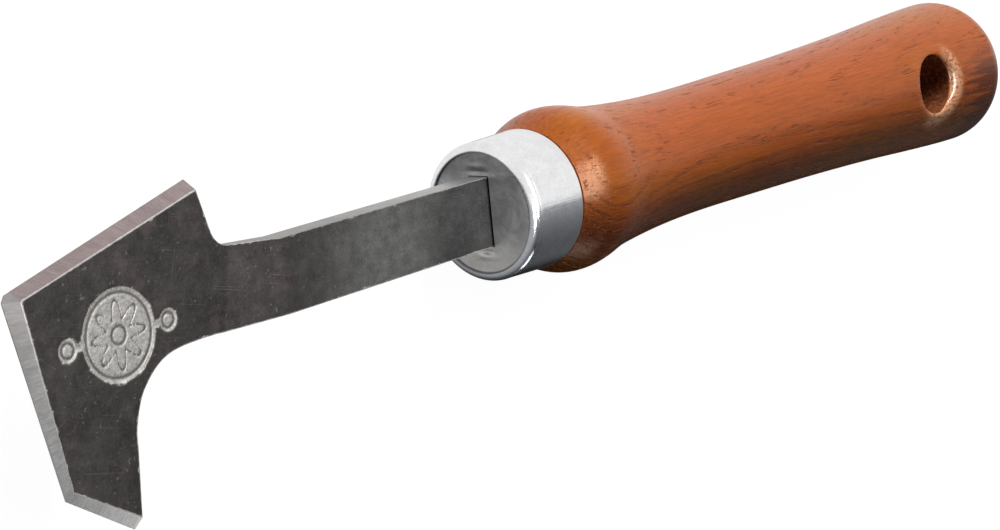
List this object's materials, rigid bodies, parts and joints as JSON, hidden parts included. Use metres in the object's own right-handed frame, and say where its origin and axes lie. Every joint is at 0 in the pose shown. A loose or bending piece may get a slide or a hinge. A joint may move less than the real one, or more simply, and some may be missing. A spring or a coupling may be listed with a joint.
{
  "type": "scraper knife",
  "caption": "Flat steel scraper knife with a crooked two-pointed head, ground edges, a round metal ferrule and a turned ash handle with a hanging hole.",
  "frame": {"origin": "middle of the underside of the whole tool's bounding box, the tool lying with its blade level", "axes": "+X along the handle, from the blade towards the hanging hole; +Z is the normal of the blade's face that shows the ground edges; +Y in the plane of the blade, towards the short point, so the hook points to -Y"},
  "size_m": [0.304, 0.055, 0.0347],
  "materials": {
    "blade_steel": "dark rolled steel with fine scratches, edges ground bright",
    "ferrule_metal": "satin drawn metal with a rolled front rim",
    "handle_wood": "reddish brown stained ash under clear gloss lacquer"
  },
  "bodies": {
    "root": {"blade": "blade_steel", "ferrule": "ferrule_metal", "handle": "handle_wood"}
  },
  "joints": []
}
